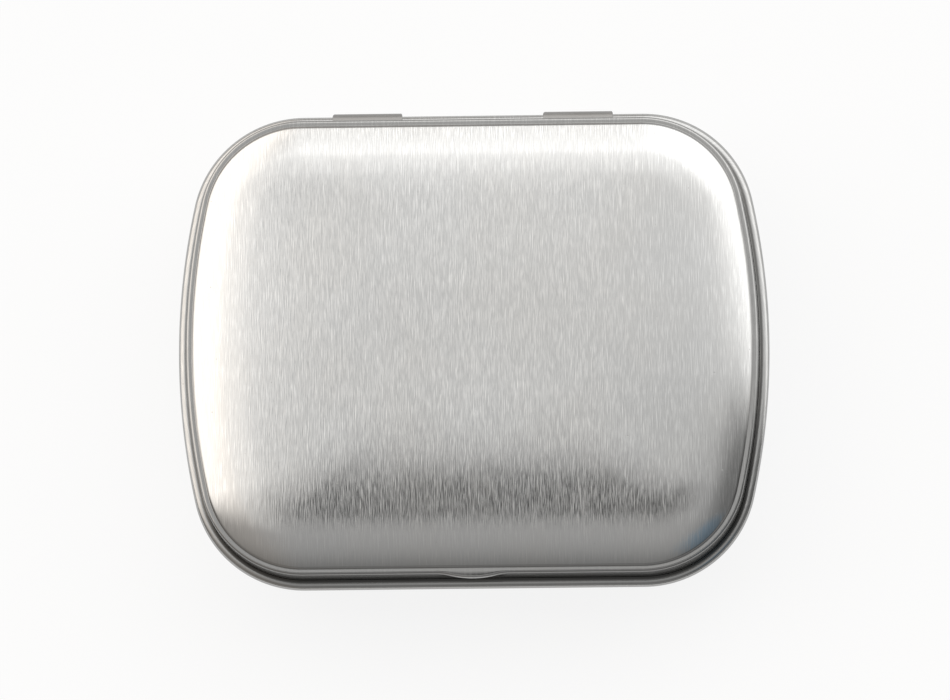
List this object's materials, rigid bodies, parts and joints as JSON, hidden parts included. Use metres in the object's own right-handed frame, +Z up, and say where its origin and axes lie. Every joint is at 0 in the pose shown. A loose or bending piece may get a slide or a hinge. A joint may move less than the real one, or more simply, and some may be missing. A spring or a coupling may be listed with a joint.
{
  "type": "mint tin",
  "caption": "Pocket-size rounded rectangular tinplate box: a pillow-topped lid with a rolled lower edge, hinged on rolled tongues of its tray-shaped base.",
  "frame": {"origin": "on the resting face, under the middle of the tin's plan", "axes": "+X along the tin's long side to the right as seen from the front, +Y towards the hinged back, +Z up"},
  "size_m": [0.06, 0.0488, 0.0154],
  "materials": {
    "brushed_tinplate": "fine grain running front to back, semi-bright",
    "plain_tinplate": "smooth semi-bright tinplate"
  },
  "bodies": {
    "base": {"base": "plain_tinplate", "hinge_tab_left": "plain_tinplate", "hinge_tab_right": "plain_tinplate"},
    "lid": {"lid": "brushed_tinplate"}
  },
  "joints": [
    {"name": "lid_hinge", "type": "hinge", "parent": "base", "child": "lid", "pos_m": [0, 0.02363, 0.0092], "axis": [-1, 0, 0], "range_deg": [0, 120]}
  ]
}
